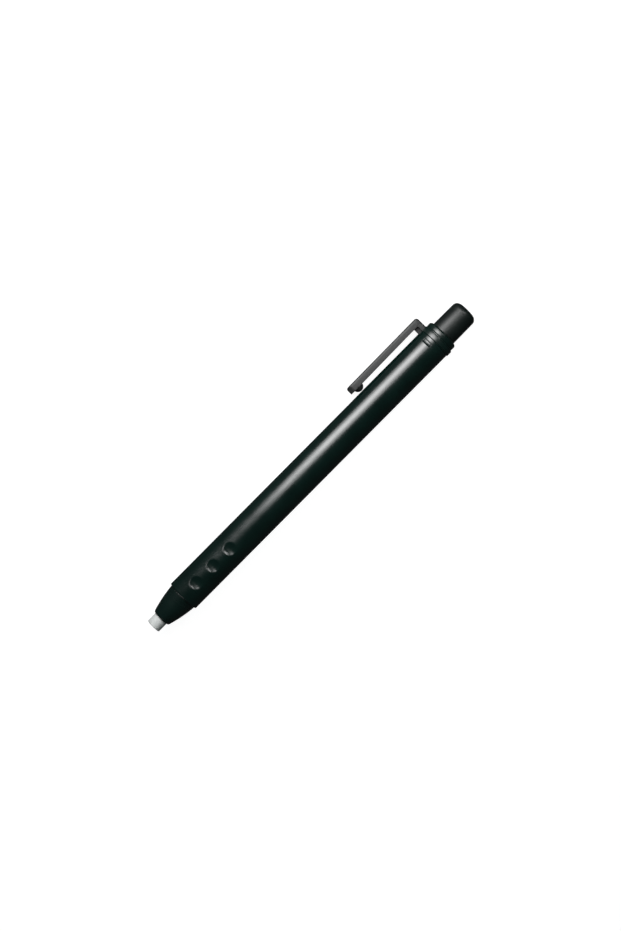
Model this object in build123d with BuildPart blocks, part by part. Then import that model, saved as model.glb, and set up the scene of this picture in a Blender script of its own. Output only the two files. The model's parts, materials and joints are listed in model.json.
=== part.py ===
"""Push-button eraser holder with a pocket clip, in millimetres.

It lies along X, as it comes to rest on a table: the nose points to -X, the push button to +X, and the clip
props it up on one side. The origin is on its axis, at the middle of the barrel's plain cylinder.
"""

import math
import os

from build123d import *

os.makedirs("parts", exist_ok=True)

# General values
overrun = 1.0
slip_gap = 0.03
push_gap = 0.02
face_gap = 0.05

# Barrel
barrel_length = 114.95
barrel_cylinder_length = 81.5
barrel_r = 5.65
barrel_rear_r = 5.7
barrel_edge_round = 0.3
barrel_bore_r = 4.3
front_bore_r = 4.7
front_bore_depth = 18.75
rear_bore_r = 5.1
rear_bore_depth = 7.0

# Grip dimples in the barrel
dimple_first = 6.34
dimple_pitch = 7.68
dimples_in_row = 3
dimple_rows = 3
dimple_ball_r = 3.2
dimple_depth = 0.6

# Snap windows at the barrel's rear end
window_length = 1.55
window_span = 32.0
window_from_rear = 1.05
window_from_clip = 71.5
window_gap = 0.06

# Eraser stick
eraser_r = 2.5
eraser_length = 100.0
eraser_out = 3.75
eraser_edge = 0.12
eraser_gap = 0.12

# Nose cone
nose_length = 10.0
nose_face_r = 3.15
nose_base_r = 5.1
nose_bulge = 0.285
nose_face_round = 0.28
nose_lip = 1.6
spigot_length = 5.0
spigot_gap = 0.08
spigot_end_chamfer = 0.25
chuck_room_r = 4.1
chuck_room_depth = 1.3

# Soft retainer that holds the stick in the nose
retainer_r = 3.0
retainer_length = 3.0
retainer_flange_r = 3.35
retainer_flange_length = 0.7
retainer_gap = 0.04
retainer_lead = 0.3

# Clutch ring and the sleeve that it slides in
ring_r = 4.3
ring_length = 2.5
ring_bore_r = 3.35
ring_travel = 2.0
ring_edge = 0.2
sleeve_bore_r = 3.45

# Chuck with three jaws
jaw_count = 3
shank_r = 3.05
chuck_bore_r = 2.65
head_r = 3.65
head_length = 0.85
head_edge = 0.25
cone_slope_share = 0.3
head_proud = 0.3
clutch_gap = 0.04
jaw_grip_gap = 0.03
slit_width = 0.5
tooth_count = 5
tooth_pitch = 0.55
tooth_depth = 0.1
shank_length = 8.8
flexure_gap = 0.1

# Joint between the chuck and the magazine tube
joint_from_sleeve = 9.0
joint_nose_r = 3.5
joint_nose_length = 3.0
joint_flange_r = 4.15
joint_flange_length = 1.2
joint_body_r = 3.8
joint_body_length = 3.8
joint_web = 0.6
joint_edge = 0.2
joint_web_from_flange = 0.4

# Magazine tube
tube_r = 3.2
tube_wall = 0.45
tube_edge = 0.12

# Return spring
wire_r = 0.2
wire_sides = 8
coil_r = 3.85
spring_turns = 7.5

# End collar in the barrel's rear end
collar_spigot_length = 6.85
collar_neck_r = 5.2
collar_head_r = 5.55
collar_head_length = 2.2
collar_chamfer = 0.45
collar_web = 1.5
collar_guide_gap = 0.08
collar_skirt_wall = 0.66
collar_groove_depth = 0.12
collar_groove_width = 0.25
collar_groove_from_ring = 0.25
hook_ramp = 0.7
hook_below = 0.1

# Clip ring and clip
clip_ring_r = 5.94
clip_ring_width = 2.05
clip_ring_round = 0.25
clip_seat_depth = 0.44
clip_width = 4.2
clip_length = 32.35
clip_root_thickness = 1.8
clip_gusset_length = 1.45
clip_gusset_width = 2.4
clip_tip_gap = 1.54
clip_root_gap = 1.94
clip_tip_thickness = 2.46
clip_bar_thickness = 2.29
clip_corner_r = 1.0
clip_edge_round = 0.25
clip_over_barrel_gap = 0.1
clip_root_from_ring_rear = 0.2
clip_split_gap = 0.15
ball_r = 1.8
ball_from_tip = 3.28
ball_over_barrel_gap = 0.14

# Push button
button_r = 4.54
button_end_r = 4.46
button_length = 13.0
button_skirt_in = 2.2
button_travel = 3.5
button_stop_gap = 0.3
button_gap = 0.06
button_end_round = 1.9
button_end_wall = 1.8
button_mouth_r = 3.6
button_mouth_depth = 2.7
button_socket_depth = 5.0
button_blind_r = 2.9
button_mouth_edge = 0.2

# Places along X, from the barrel's front end
barrel_front_x = -barrel_cylinder_length / 2
barrel_cone_x = barrel_cylinder_length / 2
barrel_rear_x = barrel_front_x + barrel_length
nose_x = barrel_front_x - nose_length
spigot_rear_x = barrel_front_x + spigot_length
shoulder_x = barrel_front_x + front_bore_depth
ring_stop_x = spigot_rear_x + face_gap
ring_rear_x = ring_stop_x + ring_travel + ring_length
ring_front_x = ring_rear_x - ring_length
cone_front_x = ring_front_x - head_proud
cone_rear_x = cone_front_x + (head_r - shank_r) / cone_slope_share
head_front_x = cone_front_x - head_length
flexure_x = cone_rear_x + shank_length
joint_front_x = shoulder_x + joint_from_sleeve
flange_x = joint_front_x + joint_nose_length
joint_body_x = flange_x + joint_flange_length
joint_rear_x = joint_body_x + joint_body_length
web_front_x = flange_x + joint_web_from_flange
web_rear_x = web_front_x + joint_web
neck_rear_x = barrel_rear_x + clip_ring_width
collar_rear_x = neck_rear_x + collar_head_length
button_front_x = collar_rear_x - button_skirt_in
well_floor_x = button_front_x - button_travel - button_stop_gap
collar_web_x = well_floor_x - collar_web
button_rear_x = button_front_x + button_length
socket_x = button_front_x + button_mouth_depth
tube_rear_x = socket_x + button_socket_depth - face_gap
clip_root_rear_x = neck_rear_x - clip_root_from_ring_rear
clip_root_front_x = clip_root_rear_x - clip_root_thickness
gusset_front_x = clip_root_front_x - clip_gusset_length
clip_tip_x = clip_root_rear_x - clip_length
arm_rear_x = gusset_front_x - clip_split_gap
ball_x = clip_tip_x + ball_from_tip

# Heights of the clip's two faces above the axis, at the tip and at the root
clip_inner_tip_r = barrel_rear_r + clip_tip_gap
clip_inner_root_r = barrel_rear_r + clip_root_gap
clip_outer_tip_r = clip_inner_tip_r + clip_tip_thickness
clip_outer_root_r = clip_inner_root_r + clip_bar_thickness

# The roll at which the ring and the clip's rounded outer edge both touch the table
clip_corner_out = clip_outer_root_r - clip_edge_round
clip_corner_side = clip_width / 2 - clip_edge_round
clip_corner_reach = math.hypot(clip_corner_out, clip_corner_side)
clip_corner_angle = math.degrees(math.atan2(clip_corner_side, clip_corner_out))
rest_roll = math.degrees(math.asin((clip_ring_r - clip_edge_round) / clip_corner_reach)) - clip_corner_angle
clip_angle = -rest_roll


def axial_plane(angle):
    """The plane through the axis whose +Y side points at this angle round X from +Y."""
    turn = math.radians(angle)
    return Plane(origin=(0, 0, 0), x_dir=(1, 0, 0), z_dir=(0, -math.sin(turn), math.cos(turn)))


def radial_plane(x, angle):
    """The plane square to the radius at this angle, with its origin on the axis at x."""
    turn = math.radians(angle)
    return Plane(origin=(x, 0, 0), x_dir=(1, 0, 0), z_dir=(0, math.cos(turn), math.sin(turn)))


def band(x0, x1, r0, r1):
    """Half section of a plain ring, drawn in the current sketch."""
    with Locations(((x0 + x1) / 2, (r0 + r1) / 2)):
        Rectangle(x1 - x0, r1 - r0)


# Eraser stick, with its rubbing edge just broken
eraser_front_x = nose_x - eraser_out
with BuildPart() as eraser_stick:
    with BuildSketch(Plane.YZ.offset(eraser_front_x)):
        Circle(eraser_r)
    extrude(amount=eraser_length)
    chamfer(eraser_stick.edges().sort_by(Axis.X)[0], length=eraser_edge)
eraser_stick.part.label = "eraser_stick"

# Barrel: a cylinder that swells slightly under the clip, bored in three steps
with BuildPart() as barrel:
    with BuildSketch(Plane.XY):
        with BuildLine():
            Polyline(
                (barrel_front_x, front_bore_r),
                (barrel_front_x, barrel_r),
                (barrel_cone_x, barrel_r),
                (barrel_rear_x, barrel_rear_r),
                (barrel_rear_x, rear_bore_r),
                (barrel_rear_x - rear_bore_depth, rear_bore_r),
                (barrel_rear_x - rear_bore_depth, barrel_bore_r),
                (shoulder_x, barrel_bore_r),
                (shoulder_x, front_bore_r),
                close=True,
            )
        make_face()
    revolve(axis=Axis.X)
    front_rim = barrel.edges().filter_by(GeomType.CIRCLE).group_by(Axis.X)[0].sort_by(SortBy.RADIUS)[-1]
    fillet(front_rim, radius=barrel_edge_round)
    # Three rows of finger dimples, the first row square to the clip
    for row in range(dimple_rows):
        with Locations(
            *[
                radial_plane(
                    barrel_front_x + dimple_first + step * dimple_pitch,
                    clip_angle + 90 + row * 360 / dimple_rows,
                ).offset(barrel_r + dimple_ball_r - dimple_depth)
                for step in range(dimples_in_row)
            ]
        ):
            Sphere(dimple_ball_r, mode=Mode.SUBTRACT)
    # Two windows, one each side of the clip, for the end collar's hooks
    for side in (-1, 1):
        start = clip_angle + side * window_from_clip - window_span / 2
        with BuildSketch(axial_plane(start)):
            band(
                barrel_rear_x - window_from_rear - window_length,
                barrel_rear_x - window_from_rear,
                rear_bore_r - overrun,
                barrel_rear_r + overrun,
            )
        revolve(axis=Axis.X, revolution_arc=window_span, mode=Mode.SUBTRACT)
barrel.part.label = "barrel"

# Nose cone, with the spigot that screws into the barrel
nose_bore_r = eraser_r + eraser_gap
spigot_r = front_bore_r - spigot_gap
lip_x = nose_x + nose_lip
pocket_x = lip_x + retainer_length
flange_pocket_x = pocket_x + retainer_flange_length + face_gap
with BuildPart() as nose_cone:
    with BuildSketch(Plane.XY):
        with BuildLine():
            Line((nose_x, nose_bore_r), (nose_x, nose_face_r))
            SagittaArc((nose_x, nose_face_r), (barrel_front_x, nose_base_r), nose_bulge)
            Polyline(
                (barrel_front_x, nose_base_r),
                (barrel_front_x, spigot_r),
                (spigot_rear_x, spigot_r),
                (spigot_rear_x, chuck_room_r),
                (barrel_front_x - chuck_room_depth, chuck_room_r),
                (flange_pocket_x, retainer_flange_r + slip_gap),
                (pocket_x, retainer_flange_r + slip_gap),
                (pocket_x, retainer_r + slip_gap),
                (lip_x, retainer_r + slip_gap),
                (lip_x, nose_bore_r),
                (nose_x, nose_bore_r),
            )
        make_face()
    revolve(axis=Axis.X)
    rims = nose_cone.edges().filter_by(GeomType.CIRCLE)
    fillet(rims.group_by(Axis.X)[0].sort_by(SortBy.RADIUS)[-1], radius=nose_face_round)
    chamfer(rims.group_by(Axis.X)[-1].sort_by(SortBy.RADIUS)[-1], length=spigot_end_chamfer)
nose_cone.part.label = "nose_cone"

# Soft retainer: a flanged bush with a lead-in for the stick
retainer_bore_r = eraser_r + retainer_gap
with BuildPart() as tip_retainer:
    with BuildSketch(Plane.XY):
        band(lip_x + face_gap, pocket_x + retainer_flange_length, retainer_bore_r, retainer_r)
        band(pocket_x + face_gap, pocket_x + retainer_flange_length, retainer_bore_r, retainer_flange_r)
    revolve(axis=Axis.X)
    lead_rim = tip_retainer.edges().filter_by(GeomType.CIRCLE).group_by(Axis.X)[-1].sort_by(SortBy.RADIUS)[0]
    chamfer(lead_rim, length=retainer_lead)
tip_retainer.part.label = "tip_retainer"

# Clutch sleeve, held between the nose's spigot and the barrel's shoulder
with BuildPart() as clutch_sleeve:
    with BuildSketch(Plane.XY):
        band(ring_stop_x, shoulder_x, sleeve_bore_r, front_bore_r - face_gap)
        with Locations(((ring_stop_x + ring_rear_x) / 2, (sleeve_bore_r + ring_r + slip_gap) / 2)):
            Rectangle(ring_rear_x - ring_stop_x, ring_r + slip_gap - sleeve_bore_r, mode=Mode.SUBTRACT)
    revolve(axis=Axis.X)
clutch_sleeve.part.label = "clutch_sleeve"

# Clutch ring, whose countersunk mouth closes the jaws
mouth_r = head_r - cone_slope_share * head_proud + clutch_gap
mouth_depth = (mouth_r - ring_bore_r) / cone_slope_share
with BuildPart() as clutch_ring:
    with BuildSketch(Plane.XY):
        with BuildLine():
            Polyline(
                (ring_front_x, mouth_r),
                (ring_front_x, ring_r),
                (ring_rear_x, ring_r),
                (ring_rear_x, ring_bore_r),
                (ring_front_x + mouth_depth, ring_bore_r),
                close=True,
            )
        make_face()
    revolve(axis=Axis.X)
    ring_rims = clutch_ring.edges().filter_by(GeomType.CIRCLE)
    chamfer(ring_rims.group_by(SortBy.RADIUS)[-1], length=ring_edge)
clutch_ring.part.label = "clutch_ring"

# Chuck jaws: thirds of a turned collet with a conical head and teeth inside
grip_r = eraser_r + jaw_grip_gap
tooth_points = [(head_front_x, grip_r)]
for tooth in range(tooth_count):
    tooth_x = head_front_x + tooth * tooth_pitch
    tooth_points.append((tooth_x + tooth_pitch / 2, grip_r + tooth_depth))
    tooth_points.append((tooth_x + tooth_pitch, grip_r))
teeth_rear_x = head_front_x + tooth_count * tooth_pitch
jaw_rear_x = flexure_x - flexure_gap / 2
jaws = []
for number in range(jaw_count):
    jaw_start = clip_angle + number * 360 / jaw_count
    with BuildPart() as jaw:
        with BuildSketch(axial_plane(jaw_start)):
            with BuildLine():
                Polyline(
                    *tooth_points,
                    (teeth_rear_x, chuck_bore_r),
                    (jaw_rear_x, chuck_bore_r),
                    (jaw_rear_x, shank_r),
                    (cone_rear_x, shank_r),
                    (cone_front_x, head_r),
                    (head_front_x + head_edge, head_r),
                    (head_front_x, head_r - head_edge),
                    close=True,
                )
            make_face()
        revolve(axis=Axis.X, revolution_arc=360 / jaw_count)
        # Half of the slit on each side
        for edge_angle in (jaw_start, jaw_start + 360 / jaw_count):
            with BuildSketch(axial_plane(edge_angle)):
                band(head_front_x - overrun, jaw_rear_x + overrun, eraser_r - overrun, head_r + overrun)
            extrude(amount=slit_width / 2, both=True, mode=Mode.SUBTRACT)
    jaw.part.label = f"chuck_jaw_{number + 1}"
    jaws.append(jaw.part)

# Chuck root, which carries the jaws and is pushed into the joint
with BuildPart() as chuck_root:
    with BuildSketch(Plane.YZ.offset(flexure_x + flexure_gap / 2)):
        Circle(shank_r)
        Circle(chuck_bore_r, mode=Mode.SUBTRACT)
    extrude(amount=web_front_x - face_gap - flexure_x - flexure_gap / 2)
chuck_root.part.label = "chuck_root"

# Tube joint: the spring's rear seat, with a socket at each end
with BuildPart() as tube_joint:
    with BuildSketch(Plane.XY):
        band(joint_front_x, flange_x, shank_r + push_gap, joint_nose_r)
        band(flange_x, joint_body_x, shank_r + push_gap, joint_flange_r)
        band(joint_body_x, joint_rear_x, tube_r + push_gap, joint_body_r)
        band(web_rear_x, joint_body_x, shank_r, tube_r + push_gap)
        band(web_front_x, web_rear_x, chuck_bore_r, joint_flange_r)
        with Locations(((web_rear_x + joint_body_x) / 2, (shank_r + tube_r + push_gap) / 2)):
            Rectangle(joint_body_x - web_rear_x, tube_r + push_gap - shank_r, mode=Mode.SUBTRACT)
    revolve(axis=Axis.X)
    flange_rims = tube_joint.edges().filter_by(GeomType.CIRCLE).group_by(SortBy.RADIUS)[-1]
    chamfer(flange_rims, length=joint_edge)
tube_joint.part.label = "tube_joint"

# Magazine tube, which holds the stick and carries the button
with BuildPart() as magazine_tube:
    with BuildSketch(Plane.YZ.offset(web_rear_x + face_gap)):
        Circle(tube_r)
        Circle(tube_r - tube_wall, mode=Mode.SUBTRACT)
    extrude(amount=tube_rear_x - web_rear_x - face_gap)
    chamfer(magazine_tube.edges().group_by(Axis.X)[-1], length=tube_edge)
magazine_tube.part.label = "magazine_tube"

# Return spring: an eight-sided wire with both ends ground flat, its helix drawn as two arcs to each half turn
spring_length = flange_x - shoulder_x
spring_pitch = spring_length / spring_turns
spring_half_turns = round(spring_turns * 2)


def helix_point(half_turns):
    """The point on the spring's helix after this many half turns."""
    turn = math.pi * half_turns
    climb = spring_length * half_turns / spring_half_turns
    return Vector(shoulder_x + climb, coil_r * math.cos(turn), coil_r * math.sin(turn))


def helix_tangent(half_turns):
    """The helix's direction after this many half turns."""
    turn = math.pi * half_turns
    rise = spring_length / spring_half_turns / math.pi
    return Vector(rise, -coil_r * math.sin(turn), coil_r * math.cos(turn)).normalized()


with BuildPart() as return_spring:
    with BuildLine() as coil:
        for half_turn in range(spring_half_turns):
            start, end = helix_point(half_turn), helix_point(half_turn + 1)
            start_way, end_way = helix_tangent(half_turn), helix_tangent(half_turn + 1)
            # Equal tangent lengths at both ends place the point where the two arcs meet
            chord, ways = end - start, start_way + end_way
            bend = 2 * (1 - start_way.dot(end_way))
            along = chord.dot(ways)
            reach = (math.sqrt(along**2 + bend * chord.dot(chord)) - along) / bend
            meeting = (start + start_way * reach + end - end_way * reach) * 0.5
            TangentArc(start, meeting, tangent=start_way)
            TangentArc(meeting, end, tangent=chord - ways * reach)
    with BuildSketch(Plane(origin=coil.line @ 0, z_dir=coil.line % 0)):
        RegularPolygon(wire_r, side_count=wire_sides)
    sweep(path=coil.line)
    for seat_x, side in ((shoulder_x, -1), (flange_x, 1)):
        with BuildSketch(Plane.YZ.offset(seat_x)):
            Circle(barrel_r)
        extrude(amount=side * overrun, mode=Mode.SUBTRACT)
return_spring.part.label = "return_spring"

# End collar, with the well that the button slides in
collar_spigot_r = rear_bore_r - face_gap
collar_front_x = barrel_rear_x - collar_spigot_length
well_r = button_r + button_gap
groove_x = neck_rear_x + collar_groove_from_ring
with BuildPart() as end_collar:
    with BuildSketch(Plane.XY):
        with BuildLine():
            Polyline(
                (collar_front_x, collar_spigot_r - collar_skirt_wall),
                (collar_front_x, collar_spigot_r),
                (barrel_rear_x, collar_spigot_r),
                (barrel_rear_x, collar_neck_r),
                (neck_rear_x, collar_neck_r),
                (neck_rear_x, collar_head_r),
                (groove_x, collar_head_r),
                (groove_x + collar_groove_width / 2, collar_head_r - collar_groove_depth),
                (groove_x + collar_groove_width, collar_head_r),
                (collar_rear_x - collar_chamfer, collar_head_r),
                (collar_rear_x, collar_head_r - collar_chamfer),
                (collar_rear_x, well_r),
                (well_floor_x, well_r),
                (well_floor_x, tube_r + collar_guide_gap),
                (collar_web_x, tube_r + collar_guide_gap),
                (collar_web_x, collar_spigot_r - collar_skirt_wall),
                close=True,
            )
        make_face()
    revolve(axis=Axis.X)
    # Two ramped hooks that stand in the barrel's windows
    hook_rear_x = barrel_rear_x - window_from_rear - window_gap
    hook_front_x = hook_rear_x - window_length + 2 * window_gap
    hook_r = barrel_r - hook_below
    hook_span = window_span - 2 * math.degrees(window_gap / barrel_r)
    for side in (-1, 1):
        with BuildSketch(axial_plane(clip_angle + side * window_from_clip - hook_span / 2)):
            with BuildLine():
                Polyline(
                    (hook_front_x, collar_spigot_r - collar_skirt_wall / 2),
                    (hook_front_x, collar_spigot_r),
                    (hook_front_x + hook_ramp, hook_r),
                    (hook_rear_x, hook_r),
                    (hook_rear_x, collar_spigot_r - collar_skirt_wall / 2),
                    close=True,
                )
            make_face()
        revolve(axis=Axis.X, revolution_arc=hook_span)
end_collar.part.label = "end_collar"

# Clip ring: a band between the barrel and the end collar, with a seat for the clip's foot
side_plane = axial_plane(clip_angle)
ring_bottom_r = collar_neck_r + slip_gap
seat_floor_r = clip_ring_r - clip_seat_depth
with BuildPart() as clip_ring:
    with BuildSketch(Plane.XY) as ring_section:
        band(barrel_rear_x + face_gap, neck_rear_x - face_gap, ring_bottom_r, clip_ring_r)
        fillet(ring_section.vertices().group_by(Axis.Y)[-1], radius=clip_ring_round)
    revolve(axis=Axis.X)
    with BuildPart(mode=Mode.SUBTRACT):
        with BuildSketch(side_plane):
            band(barrel_rear_x, clip_root_rear_x + push_gap, 0, clip_ring_r + overrun)
        extrude(amount=clip_width / 2 + push_gap, both=True)
        with BuildSketch(Plane.YZ.offset(barrel_rear_x)):
            Circle(seat_floor_r)
        extrude(amount=clip_ring_width, mode=Mode.SUBTRACT)
clip_ring.part.label = "clip_ring"


def clip_inner_r(x):
    """Height of the clip's inner face above the axis."""
    share = (x - clip_tip_x) / clip_length
    return clip_inner_tip_r + share * (clip_inner_root_r - clip_inner_tip_r)


def clip_outer_r(x):
    """Height of the clip's outer face above the axis."""
    share = (x - clip_tip_x) / clip_length
    return clip_outer_tip_r + share * (clip_outer_root_r - clip_outer_tip_r)


def stands_clear(edge):
    """Whether an edge of the clip's root is above the ring and behind the place where the arm begins."""
    place = side_plane.to_local_coords(edge.center())
    return place.Y > clip_ring_r + clip_edge_round and place.X > gusset_front_x + clip_split_gap


# Clip root, whose foot stands in the ring's seat
with BuildPart() as clip_root:
    with BuildSketch(side_plane):
        with BuildLine():
            Polyline(
                (clip_root_rear_x, ring_bottom_r),
                (clip_root_rear_x, clip_outer_root_r - clip_corner_r),
            )
            RadiusArc(
                (clip_root_rear_x, clip_outer_root_r - clip_corner_r),
                (clip_root_rear_x - clip_corner_r, clip_outer_root_r),
                -clip_corner_r,
            )
            Polyline(
                (clip_root_rear_x - clip_corner_r, clip_outer_root_r),
                (gusset_front_x, clip_outer_r(gusset_front_x)),
                (gusset_front_x, clip_inner_r(gusset_front_x)),
                (clip_root_front_x, clip_inner_r(clip_root_front_x)),
                (clip_root_front_x, ring_bottom_r),
                (clip_root_rear_x, ring_bottom_r),
            )
        make_face()
    extrude(amount=clip_width / 2, both=True)
    side_faces = clip_root.faces().filter_by(Axis((0, 0, 0), side_plane.z_dir))
    fillet(side_faces.edges().filter_by(stands_clear), radius=clip_edge_round)
    # The narrower gusset in front of the root, which runs up into it
    gusset_top_r = (clip_inner_r(gusset_front_x) + clip_outer_r(gusset_front_x)) / 2
    with BuildSketch(side_plane):
        band(gusset_front_x, clip_root_front_x, ring_bottom_r, gusset_top_r)
    extrude(amount=clip_gusset_width / 2, both=True)
    # Clearance over the barrel and the seat's floor
    with BuildSketch(Plane.YZ.offset(gusset_front_x - overrun)):
        Circle(barrel_rear_r + clip_over_barrel_gap)
    extrude(amount=barrel_rear_x + face_gap - gusset_front_x + overrun, mode=Mode.SUBTRACT)
    with BuildSketch(Plane.YZ.offset(barrel_rear_x)):
        Circle(seat_floor_r + push_gap)
    extrude(amount=clip_ring_width, mode=Mode.SUBTRACT)
clip_root.part.label = "clip_root"

# Clip arm: a tapered bar with a half-round tip and a ball under it
with BuildPart() as clip_arm:
    with BuildSketch(side_plane):
        with BuildLine():
            Polyline(
                (clip_tip_x, clip_inner_tip_r),
                (clip_tip_x, clip_outer_tip_r),
                (arm_rear_x, clip_outer_r(arm_rear_x)),
                (arm_rear_x, clip_inner_r(arm_rear_x)),
                close=True,
            )
        make_face()
    extrude(amount=clip_width / 2, both=True)
    corner_edges = clip_arm.edges().filter_by(Axis((0, 0, 0), side_plane.y_dir))
    fillet(corner_edges.group_by(Axis.X)[0], radius=clip_width / 2 - push_gap)
    upright = Axis((0, 0, 0), side_plane.y_dir)
    for face in (clip_arm.faces().sort_by(upright)[0], clip_arm.faces().sort_by(upright)[-1]):
        fillet(face.edges().sort_by(Axis.X)[:-1], radius=clip_edge_round)
    ball_height = barrel_rear_r + ball_over_barrel_gap + ball_r
    with Locations(Plane(origin=side_plane.from_local_coords((ball_x, ball_height, 0)))):
        Sphere(ball_r)
clip_arm.part.label = "clip_arm"

# Push button: a cap with a socket for the tube
button_floor_x = button_rear_x - button_end_wall
socket_end_x = socket_x + button_socket_depth
with BuildPart() as push_button:
    with BuildSketch(Plane.XY):
        with BuildLine():
            Polyline(
                (button_front_x, button_mouth_r),
                (button_front_x, button_r),
                (collar_rear_x, button_r),
                (button_rear_x, button_end_r),
                (button_rear_x, 0),
                (button_floor_x, 0),
                (button_floor_x, button_blind_r),
                (socket_end_x, button_blind_r),
                (socket_end_x, tube_r + push_gap),
                (socket_x, tube_r + push_gap),
                (socket_x, button_mouth_r),
                close=True,
            )
        make_face()
    revolve(axis=Axis.X)
    button_rims = push_button.edges().filter_by(GeomType.CIRCLE)
    fillet(button_rims.group_by(Axis.X)[-1], radius=button_end_round)
    chamfer(button_rims.group_by(Axis.X)[0].sort_by(SortBy.RADIUS)[-1], length=button_mouth_edge)
push_button.part.label = "push_button"

pieces = [
    barrel.part,
    nose_cone.part,
    tip_retainer.part,
    clutch_sleeve.part,
    clutch_ring.part,
    *jaws,
    chuck_root.part,
    tube_joint.part,
    magazine_tube.part,
    return_spring.part,
    eraser_stick.part,
    end_collar.part,
    clip_ring.part,
    clip_root.part,
    clip_arm.part,
    push_button.part,
]
for piece in pieces:
    export_step(piece, f"parts/{piece.label}.step")

print(f"pieces {len(pieces)}, roll at rest {rest_roll:.2f} degrees")
print(f"gap between the spring's turns {spring_pitch - 2 * wire_r:.2f} mm")
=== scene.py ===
"""A push-button eraser holder with a pocket clip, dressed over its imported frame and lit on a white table."""

import json
import math

import bmesh
import bpy
from mathutils import Matrix, Vector


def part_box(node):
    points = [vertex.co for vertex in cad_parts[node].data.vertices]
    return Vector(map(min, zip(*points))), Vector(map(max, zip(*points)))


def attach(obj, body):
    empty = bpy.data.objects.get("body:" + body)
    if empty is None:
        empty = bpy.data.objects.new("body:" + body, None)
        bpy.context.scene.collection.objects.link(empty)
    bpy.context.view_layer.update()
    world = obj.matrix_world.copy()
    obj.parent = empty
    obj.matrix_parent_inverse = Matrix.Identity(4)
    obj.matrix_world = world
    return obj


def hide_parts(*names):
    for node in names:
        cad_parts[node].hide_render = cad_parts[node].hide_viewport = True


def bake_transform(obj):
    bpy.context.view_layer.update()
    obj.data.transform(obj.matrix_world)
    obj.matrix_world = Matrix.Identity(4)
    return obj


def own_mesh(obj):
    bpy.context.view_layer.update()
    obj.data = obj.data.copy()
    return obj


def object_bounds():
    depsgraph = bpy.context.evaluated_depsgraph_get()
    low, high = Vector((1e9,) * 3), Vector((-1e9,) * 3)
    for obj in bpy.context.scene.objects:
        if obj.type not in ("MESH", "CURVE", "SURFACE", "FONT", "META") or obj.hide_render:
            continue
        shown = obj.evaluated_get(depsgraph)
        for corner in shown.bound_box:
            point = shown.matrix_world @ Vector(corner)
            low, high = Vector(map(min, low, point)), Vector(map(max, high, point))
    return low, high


bl_info = {
    "name": "Eraser Holder",
    "version": (1, 0, 0),
    "blender": (4, 5, 0),
    "location": "View3D > Sidebar > Eraser Holder",
    "description": "Builds a push-button eraser holder, its finishes and its stage",
    "category": "Add Mesh",
}

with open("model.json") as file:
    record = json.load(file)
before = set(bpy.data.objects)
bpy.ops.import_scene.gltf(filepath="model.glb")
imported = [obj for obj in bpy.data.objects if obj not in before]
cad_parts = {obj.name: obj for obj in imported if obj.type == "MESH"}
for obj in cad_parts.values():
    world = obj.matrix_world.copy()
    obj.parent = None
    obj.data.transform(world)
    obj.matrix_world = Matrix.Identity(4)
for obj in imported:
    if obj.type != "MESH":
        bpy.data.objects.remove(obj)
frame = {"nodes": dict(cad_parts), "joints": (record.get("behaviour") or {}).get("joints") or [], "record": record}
CAD_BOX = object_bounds()

MM = 0.001
MICRON = 0.000001
QUARTER = math.pi / 2

# Sides of a turned piece, and the distances below which points are merged or count as near
SIDES = 192
MERGE = 2e-7
NEAR = 0.005 * MM

# Degrees from the clip to the middle of a snap window, degrees that it spans, and the play of the clip's foot
WINDOW_FROM_CLIP = 71.5
WINDOW_SPAN = 32.0
SEAT_PLAY = 0.02 * MM

# Places read from the frame, and the directions from the axis to the clip, to the camera and to the button
JOINTS = {joint["name"]: joint for joint in frame["joints"]}
MOUNTS = {mount["name"]: mount for mount in frame["record"]["mounts"]}
BOX = {name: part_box(name) for name in frame["nodes"]}
CLIP_AXIS = JOINTS["clip_lift"]["axis"]
CLIP_ANGLE = math.atan2(CLIP_AXIS[1], -CLIP_AXIS[2])
CLIP_WAY = Vector((0, math.cos(CLIP_ANGLE), math.sin(CLIP_ANGLE)))
SIDE_WAY = Vector((0, -math.sin(CLIP_ANGLE), math.cos(CLIP_ANGLE)))
AXIS_WAY = Vector((1, 0, 0))


def front_of(node):
    """The X of a node's end on the nose side."""
    return BOX[node][0].x


def rear_of(node):
    """The X of a node's end on the button side."""
    return BOX[node][1].x


def radius_of(node):
    """The radius of a turned node, from its height."""
    return (BOX[node][1].z - BOX[node][0].z) / 2


def window_ends():
    """The X of the snap windows' front and rear ends."""
    size = bpy.context.scene.holder_barrel
    rear = rear_of("barrel") - size.window_from_rear * MM
    return rear - size.window_length * MM, rear


def beside_clip(point, side, margin=0):
    """Whether a point lies in the span of the window on one side of the clip, less a margin in degrees."""
    turn = math.atan2(point.z, point.y) - CLIP_ANGLE - side * math.radians(WINDOW_FROM_CLIP)
    return abs(math.remainder(turn, math.tau)) < math.radians(WINDOW_SPAN / 2 - margin)


def deselect_all():
    """Nothing stays selected, so that an operator acts on the new piece alone."""
    if bpy.context.mode != "OBJECT":
        bpy.ops.object.mode_set(mode="OBJECT")
    bpy.ops.object.select_all(action="DESELECT")


def take_up(piece):
    """The piece alone is selected and active."""
    deselect_all()
    piece.select_set(True)
    bpy.context.view_layer.objects.active = piece


def open_mesh(piece):
    """The piece is in edit mode, with all of its mesh selected."""
    take_up(piece)
    bpy.ops.object.mode_set(mode="EDIT")
    bpy.ops.mesh.select_all(action="SELECT")


def settle(piece):
    """The piece's place and turn go into its mesh."""
    take_up(piece)
    bpy.ops.object.transform_apply(location=True, rotation=True, scale=True)


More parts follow.
